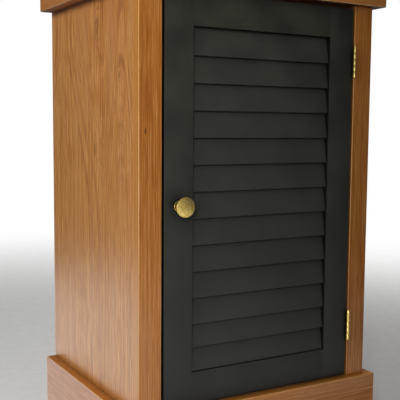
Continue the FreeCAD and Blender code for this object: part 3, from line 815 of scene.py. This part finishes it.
@dataclass
class Carcass:
    """The standing wooden body: boards, plinth and the fixings that hold them."""

    edge_ease: float = 0.4 * MM
    plinth_ease: float = 1.1 * MM
    broad_coarse: float = 1.9
    cuts: Mapping[str, Cut] = field(default_factory=lambda: {
        "side_panel_left": Cut(Axis.TALL, Axis.DEEP, Figure.ARCHES, (0.0, -116.0), SIDE_STAIN, (
            Knot(-13.0, 668.0, 22.0, 40.0, 0.2),
            Knot(-6.0, 480.0, 12.0, 22.0, 0.3),
            Knot(-98.0, 591.0, 9.0, 16.0, 0.25),
        )),
        "side_panel_right": Cut(Axis.TALL, Axis.DEEP, Figure.ARCHES, (410.0, 60.0), SIDE_STAIN),
        "top_panel": Cut(Axis.WIDE, Axis.DEEP, Figure.ARCHES, (120.0, 35.0), FRAME_STAIN),
        "bottom_panel": Cut(Axis.WIDE, Axis.DEEP, Figure.ARCHES, (700.0, 90.0), FRAME_STAIN),
        "shelf": Cut(Axis.WIDE, Axis.DEEP, Figure.ARCHES, (300.0, 10.0), FRAME_STAIN),
        "plinth_front": Cut(Axis.WIDE, Axis.TALL, Figure.LINES, (50.0, 20.0), STILE_STAIN),
        "plinth_left": Cut(Axis.DEEP, Axis.TALL, Figure.LINES, (900.0, 55.0), FRAME_STAIN),
        "plinth_right": Cut(Axis.DEEP, Axis.TALL, Figure.LINES, (520.0, 80.0), FRAME_STAIN),
        "face_stile_left": Cut(Axis.TALL, Axis.WIDE, Figure.LINES, (260.0, 45.0), STILE_STAIN, (
            Knot(-201.4, 510.7, 2.4, 10.0, 0.95),
        )),
        "face_stile_right": Cut(Axis.TALL, Axis.WIDE, Figure.LINES, (640.0, 15.0), STILE_STAIN),
        "top_front_stretcher": Cut(Axis.WIDE, Axis.DEEP, Figure.LINES, (80.0, 70.0), FRAME_STAIN),
        "top_back_rail": Cut(Axis.WIDE, Axis.TALL, Figure.LINES, (330.0, 25.0), FRAME_STAIN),
        "plinth_front_rail": Cut(Axis.WIDE, Axis.TALL, Figure.LINES, (480.0, 65.0), FRAME_STAIN),
        "plinth_back_rail": Cut(Axis.WIDE, Axis.TALL, Figure.LINES, (210.0, 5.0), FRAME_STAIN),
    })
    fittings: Mapping[str, Finish] = field(default_factory=lambda: {
        "back_panel": HARDBOARD,
        "back_panel_pins": ZINC,
        "carcass_dowels": BEECH,
        "carcass_screws": ZINC,
        "floor_glides": NYLON,
        "shelf_pegs": ZINC,
    })

    def saw(self, node: str, cut: Cut) -> SatinWood:
        """Choose the wood of a board.

        Args:
            node: Name of the board.
            cut: How the board was sawn.

        Returns:
            The wood of that board.
        """
        low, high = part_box(node)
        along, aside = cut.shift_mm
        start = (low + high) / 2 - cut.grain.unit * (along * MM) - cut.across.unit * (aside * MM)
        coarse = self.broad_coarse if cut.figure is Figure.ARCHES else 1.0
        name = f"satin_wood_{node}"
        return SatinWood(name, cut.grain, cut.across, start, cut.stain, cut.figure, cut.knots, coarse)

    def build(self) -> None:
        """Dress every node of the standing body."""
        finishes = self.fittings | {node: self.saw(node, cut) for node, cut in self.cuts.items()}
        for node, finish in finishes.items():
            dress_node(node, finish, self.plinth_ease if node.startswith("plinth_") else self.edge_ease)


@dataclass
class LouvredDoor:
    """The painted door: two stiles, two rails and the slats between them."""

    outer_ease: float = 1.2 * MM
    inner_ease: float = 0.5 * MM
    slat_tilt: float = math.radians(10)
    slat_nose: float = 1.2 * MM
    nose_steps: int = 4
    settle: float = 1.4 * MM
    upright: CharcoalPaint = CharcoalPaint("charcoal_paint_upright", stroke=Axis.TALL)
    level: CharcoalPaint = CharcoalPaint("charcoal_paint_level", stroke=Axis.WIDE)
    foot: CharcoalPaint = CharcoalPaint("charcoal_paint_foot", stroke=Axis.WIDE, seam_shade_share=0.2)
    # Painted light: the slats wear lighter tones than the frame, for the light they catch facing slightly
    # up.
    slat: CharcoalPaint = CharcoalPaint(
        "charcoal_paint_slat", stroke=Axis.WIDE, deep="363731", pale="41423A", dust="3B3B39",
        seam_shade_share=0.35, corner_shade_share=0.25,
    )
    # Painted light: the hinge-side stile wears lighter tones than the knob-side one.
    hinged: CharcoalPaint = CharcoalPaint(
        "charcoal_paint_hinged", stroke=Axis.TALL, deep="33342E", pale="45463C", dust="3B3B3A",
    )

    def frame_member(self, node: str, joint: Axis, finish: Finish) -> None:
        """Model a stile or rail whose free edges are eased and whose joints stay flush.

        Args:
            node: Node that the member stands for.
            joint: Direction in which the member meets its neighbours.
            finish: Paint of the member.
        """
        outer_low, outer_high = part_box("door_stile_knob_side")[0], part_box("door_stile_hinge_side")[1]
        inner_low = Vector((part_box("door_stile_knob_side")[1].x, 0.0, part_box("door_bottom_rail")[1].z))
        inner_high = Vector((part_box("door_stile_hinge_side")[0].x, 0.0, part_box("door_top_rail")[0].z))
        low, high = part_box(node)
        if joint is Axis.WIDE:
            low.x, high.x = inner_low.x, inner_high.x
        piece = start_box(f"painted_{node}", (low + high) / 2, high - low)

        def on_outline(a: Vector, b: Vector) -> bool:
            """Whether an edge lies on the outer outline of the door."""
            upright = abs(a.x - b.x) < HAIR and min(abs(a.x - outer_low.x), abs(a.x - outer_high.x)) < HAIR
            level = abs(a.z - b.z) < HAIR and min(abs(a.z - outer_low.z), abs(a.z - outer_high.z)) < HAIR
            return upright or level

        def on_opening(a: Vector, b: Vector) -> bool:
            """Whether an edge lies on the rim of the louvre opening."""
            beside = abs(a.x - b.x) < HAIR and min(abs(a.x - inner_low.x), abs(a.x - inner_high.x)) < HAIR
            along = abs(a.z - b.z) < HAIR and min(abs(a.z - inner_low.z), abs(a.z - inner_high.z)) < HAIR
            within = inner_low.z - HAIR < a.z and b.z < inner_high.z + HAIR
            long = beside and b.z - a.z > HAIR or along and b.x - a.x > HAIR
            return b.y - a.y < HAIR and within and long

        with editing(piece):
            if joint is Axis.TALL:
                for level in (inner_low.z, inner_high.z):
                    bpy.ops.mesh.select_all(action="SELECT")
                    bpy.ops.mesh.bisect(plane_co=(0.0, 0.0, level), plane_no=Axis.TALL.unit)
                bpy.ops.mesh.select_all(action="DESELECT")
            pick(piece, on_outline)
            bpy.ops.mesh.bevel(offset=self.outer_ease, segments=3, affect="EDGES", clamp_overlap=True)
            bpy.ops.mesh.select_all(action="DESELECT")
            pick(piece, on_opening)
            bpy.ops.mesh.bevel(offset=self.inner_ease, segments=3, affect="EDGES", clamp_overlap=True)
        bpy.ops.object.shade_smooth_by_angle(angle=SHARP_EDGE)
        finish.dress(piece)
        hang_on_door(piece, node)

    def slats(self) -> None:
        """Model the first slat and copy it to the place of every other; the lowest settled onto its rail."""
        nodes = sorted(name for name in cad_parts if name.startswith("louvre_slat_"))
        lowest = min(nodes, key=lambda name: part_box(name)[0].z)
        low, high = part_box(nodes[0])
        cosine, sine = math.cos(self.slat_tilt), math.sin(self.slat_tilt)
        round_off = Vector((0.0, 2 * self.slat_nose, 2 * self.slat_nose))
        inner = high - low - round_off
        spread = cosine ** 2 - sine ** 2
        width = (inner.z * cosine - inner.y * sine) / spread
        thickness = (inner.y * cosine - inner.z * sine) / spread
        size = Vector((inner.x, thickness, width)) + round_off
        first = start_box("painted_slat", (low + high) / 2, size, tilt=-self.slat_tilt)
        with editing(first):
            pick(first, lambda a, b: b.x - a.x > size.z)
            bpy.ops.mesh.bevel(offset=self.slat_nose, segments=self.nose_steps, affect="EDGES")
        bpy.ops.object.shade_smooth_by_angle(angle=SHARP_EDGE)
        self.slat.dress(first)
        for number, node in enumerate(nodes, start=1):
            slat = first.copy()
            slat.data = first.data.copy()
            slat.name = slat.data.name = f"painted_slat_{number:02d}"
            drop = self.settle if node == lowest else 0.0
            slat.data.transform(Matrix.Translation(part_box(node)[0] - low - Axis.TALL.unit * drop))
            bpy.context.scene.collection.objects.link(slat)
            hang_on_door(slat, node)
        bpy.data.objects.remove(first)

    def build(self) -> None:
        """Model the frame and the slats."""
        self.frame_member("door_stile_knob_side", Axis.TALL, self.upright)
        self.frame_member("door_stile_hinge_side", Axis.TALL, self.hinged)
        self.frame_member("door_top_rail", Axis.WIDE, self.level)
        self.frame_member("door_bottom_rail", Axis.WIDE, self.foot)
        self.slats()


@dataclass
class Knob:
    """The turned knob: a foot, a waisted neck and a thin head with a rolled rim."""

    foot_radius: float = 8.5 * MM
    foot_height: float = 3.0 * MM
    foot_roll: float = 1.0 * MM
    neck_radius: float = 4.4 * MM
    neck_height: float = 9.0 * MM
    throat_radius: float = 9.0 * MM
    head_trim: float = 0.7 * MM
    rim_height: float = 2.2 * MM
    rim_roll: float = 0.7 * MM
    dome_height: float = 1.8 * MM
    smooth_angle: float = math.radians(35)
    screw_ease: float = 0.3 * MM
    turns: int = 96
    steps: int = 8

    def sweep(self, start: Vector, pull: Vector, end: Vector) -> list[Vector]:
        """Points of a smooth curve that leaves towards a pull point and ends at another.

        Args:
            start: First point, left out of the result.
            pull: Point that draws the curve towards itself.
            end: Last point.

        Returns:
            Points after the start, the end among them.
        """
        shares = [step / self.steps for step in range(1, self.steps + 1)]
        return [start.lerp(pull, share).lerp(pull.lerp(end, share), share) for share in shares]

    def outline(self, radius: float, reach: float) -> list[Vector]:
        """Half section of the knob as radius and height above the door.

        Args:
            radius: Radius of the head.
            reach: Distance from the door to the top of the head.

        Returns:
            Points from the axis at the door, round the outside, to the axis at the front.
        """
        top = reach - self.dome_height
        points = [Vector((0.0, 0.0)), Vector((self.foot_radius, 0.0))]
        points += [Vector((self.foot_radius, self.foot_height - self.foot_roll))]
        rim = Vector((self.foot_radius - self.foot_roll, self.foot_height))
        points += self.sweep(points[-1], Vector((self.foot_radius, self.foot_height)), rim)
        waist = Vector((self.neck_radius, self.neck_height))
        points += self.sweep(points[-1], Vector((self.neck_radius, self.foot_height)), waist)
        under = Vector((self.throat_radius, top - self.rim_height))
        points += self.sweep(waist, Vector((self.neck_radius, under.y)), under)
        flare = Vector((radius - self.rim_roll, under.y))
        points.append(flare)
        side = Vector((radius, flare.y + self.rim_roll))
        points += self.sweep(flare, Vector((radius, flare.y)), side)
        points += self.sweep(side, Vector((radius, top)), Vector((radius - self.rim_roll, top)))
        edge = points[-1].x
        crown = [step / self.steps for step in range(self.steps - 1, -1, -1)]
        points += [Vector((edge * share, reach - self.dome_height * share ** 2)) for share in crown]
        return points

    def build(self) -> None:
        """Draw the outline from one point and spin it round the knob's axis."""
        low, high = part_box("door_knob")
        centre = Vector(((low.x + high.x) / 2, high.y, (low.z + high.z) / 2))
        points = self.outline((high.x - low.x) / 2 - self.head_trim, high.y - low.y)
        bpy.ops.object.select_all(action="DESELECT")
        bpy.ops.mesh.primitive_plane_add(size=MM, location=centre)
        piece = bpy.context.object
        piece.name = piece.data.name = "turned_knob"
        bpy.ops.object.transform_apply(location=True, rotation=True, scale=True)
        with editing(piece):
            bpy.ops.mesh.select_mode(type="VERT")
            bpy.ops.mesh.select_all(action="SELECT")
            bpy.ops.mesh.merge(type="CENTER")
            bpy.ops.mesh.select_all(action="SELECT")
            for last, point in zip(points, points[1:]):
                step = (point.x - last.x, last.y - point.y, 0.0)
                bpy.ops.mesh.extrude_region_move(TRANSFORM_OT_translate={"value": step})
            bpy.ops.mesh.select_all(action="SELECT")
            bpy.ops.mesh.spin(steps=self.turns, angle=math.tau, center=centre, axis=Axis.DEEP.unit)
            bpy.ops.mesh.select_all(action="SELECT")
            bpy.ops.mesh.remove_doubles(threshold=0.005 * MM)
            bpy.ops.mesh.select_all(action="SELECT")
            bpy.ops.mesh.normals_make_consistent(inside=False)
        bpy.ops.object.shade_smooth_by_angle(angle=self.smooth_angle)
        head, foot = low.y + self.dome_height + self.rim_height - self.rim_roll, high.y - self.foot_height
        AgedBrass("aged_brass", neck_middle=(head + foot) / 2, neck_half=(foot - head) / 2).dress(piece)
        hang_on_door(piece, "door_knob")
        dress_node("knob_screw", ZINC, self.screw_ease)


@dataclass
class Ironmongery:
    """Hinges, catch and strike plate: small nodes that keep their shape."""

    edge_ease: float = 0.2 * MM
    finishes: Mapping[str, Finish] = field(default_factory=lambda: {
        "catch_housing": NYLON,
        "catch_magnet": FERRITE,
        "catch_pole_plates": ZINC,
        "catch_screws": ZINC,
        "strike_plate": ZINC,
        "strike_screws": ZINC,
        "hinge_": AgedBrass("aged_brass_hinges", scuff_mm=6.0),
    })

    def build(self) -> None:
        """Dress every node whose name starts as the table says."""
        for start, finish in self.finishes.items():
            for node in sorted(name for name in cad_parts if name.startswith(start)):
                dress_node(node, finish, self.edge_ease)


@dataclass(frozen=True)
class Softbox:
    """A square soft light that the camera doesn't see."""

    name: str
    throw: Throw
    place: tuple[float, float, float]
    target: tuple[float, float, float]
    size: float
    watts: float

    def hang(self) -> None:
        """Hang the light and aim it."""
        aim = Vector(self.place) - Vector(self.target)
        turn = aim.to_track_quat("Z", "Y").to_euler()
        bpy.ops.object.light_add(type="AREA", location=self.place, rotation=turn)
        light = bpy.context.object
        light.name = self.name
        light.data.size = self.size
        light.data.energy = self.watts
        light.visible_camera = False
        light.visible_diffuse = self.throw is Throw.FILL
        light.visible_glossy = self.throw is Throw.GLARE


@dataclass
class Studio:
    """Pale floor, soft light and the camera at the photograph's place."""

    paper: SeamlessPaper = SeamlessPaper("seamless_paper")
    camera_place: Vector = field(default_factory=lambda: Vector((-674.0, -1124.7, 516.7)) * MM)
    camera_yaw: float = math.radians(30.27)
    camera_pitch: float = math.radians(5.45)
    camera_roll: float = math.radians(0.43)
    lens_mm: float = 68.8
    left_level: float = 0.135
    left_end: float = -0.3
    right_level: float = 0.03
    right_start: float = 0.8
    flag_place: Vector = field(default_factory=lambda: Vector((-0.265, -0.88, 0.68)))
    flag_size: Vector = field(default_factory=lambda: Vector((0.3, 0.002, 0.7)))
    front_level: float = 0.34
    front_bearing: float = math.radians(11)
    front_spread: float = math.radians(27)
    front_core: float = math.radians(8)
    below_share: float = 0.1
    below_end: float = -0.25
    softboxes: Sequence[Softbox] = (
        Softbox("key_softbox", Throw.FILL, (-1.5, -2.2, 1.1), (0.0, 0.0, 0.4), size=0.8, watts=42.0),
        Softbox("side_softbox", Throw.FILL, (-2.3, -0.5, 1.5), (0.0, 0.0, 0.4), size=0.9, watts=27.0),
        Softbox("low_glare", Throw.GLARE, (-1.35, -1.95, 0.42), (0.0, 0.0, 0.4), size=0.5, watts=30.0),
        Softbox("floor_glare", Throw.GLARE, (-0.8, 0.65, 0.01), (-0.8, 0.65, 1.0), size=1.4, watts=6.6),
        Softbox("front_glare", Throw.GLARE, (0.05, -0.75, 0.01), (0.05, -0.75, 1.0), size=0.8, watts=1.7),
        Softbox("far_softbox", Throw.FILL, (1.9, 1.9, 1.3), (0.0, 0.0, 0.4), size=1.2, watts=30.0),
    )

    def floor(self) -> None:
        """Lay a round sheet of paper under the cabinet, which throws no light back up at it."""
        bpy.ops.object.select_all(action="DESELECT")
        bpy.ops.mesh.primitive_circle_add(vertices=96, radius=self.paper.clear_radius, fill_type="NGON")
        sheet = bpy.context.object
        sheet.name = sheet.data.name = "studio_floor"
        sheet.visible_diffuse = False
        self.paper.dress(sheet)

    def flag(self) -> None:
        """Hang a card in the key light, which shades the door towards its hinges and is itself unseen."""
        card = start_box("studio_flag", self.flag_place, self.flag_size)
        card.visible_camera = card.visible_diffuse = card.visible_glossy = False
        self.paper.dress(card)

    def camera(self) -> None:
        """Set the camera where the photograph was taken."""
        turn = Matrix.Rotation(-self.camera_yaw, 3, "Z")
        turn = turn @ Matrix.Rotation(math.pi / 2 - self.camera_pitch, 3, "X")
        turn = turn @ Matrix.Rotation(self.camera_roll, 3, "Z")
        bpy.ops.object.camera_add(location=self.camera_place, rotation=turn.to_euler())
        camera = bpy.context.object
        camera.name = "photo_camera"
        camera.data.lens = self.lens_mm
        bpy.context.scene.camera = camera

    def room(self) -> None:
        """Light the room from its bright left wall to its dim right one; the camera sees plain white."""
        world = bpy.data.worlds.new("studio_room")
        bpy.context.scene.world = world
        world.use_nodes = True
        tree = world.node_tree
        way = add_node(tree, "TexCoord")["Generated"]
        aside, _, up = add_node(tree, "SeparateXYZ", {0: way})
        walls = add_node(tree, "MapRange", {
            0: aside, 1: self.left_end, 2: self.right_start, 3: self.left_level, 4: self.right_level,
        }, interpolation_type="SMOOTHSTEP")[0]
        ahead = (math.sin(self.front_bearing), -math.cos(self.front_bearing), 0.0)
        facing = add_node(tree, "VectorMath", {0: way, 1: ahead}, operation="DOT_PRODUCT")["Value"]
        front = add_node(tree, "MapRange", {
            0: facing, 1: math.cos(self.front_spread), 2: math.cos(self.front_core), 4: self.front_level,
        }, interpolation_type="SMOOTHSTEP")[0]
        walls = add_node(tree, "Math", {0: walls, 1: front}, operation="ADD")[0]
        above = add_node(tree, "MapRange", {
            0: up, 1: self.below_end, 2: 0.0, 3: self.below_share,
        }, interpolation_type="SMOOTHSTEP")[0]
        walls = add_node(tree, "Math", {0: walls, 1: above}, operation="MULTIPLY")[0]
        seen = add_node(tree, "LightPath")["Is Camera Ray"]
        shade = add_node(tree, "Mix", {0: seen, 6: walls, 7: grey(1.0)}, data_type="RGBA")[2]
        plug(tree, tree.nodes["Background"], {"Color": shade})

    def build(self) -> None:
        """Set up the whole studio."""
        bpy.context.scene.view_settings.view_transform = "Standard"
        self.floor()
        self.flag()
        self.room()
        for softbox in self.softboxes:
            softbox.hang()
        self.camera()


def main() -> None:
    """Build every sub-assembly in order."""
    logging.basicConfig(level=logging.INFO, format="%(name)s: %(message)s")
    for assembly in (Carcass(), LouvredDoor(), Knob(), Ironmongery(), Studio()):
        log.info("building %s", type(assembly).__name__)
        assembly.build()


if __name__ == "__main__":
    main()
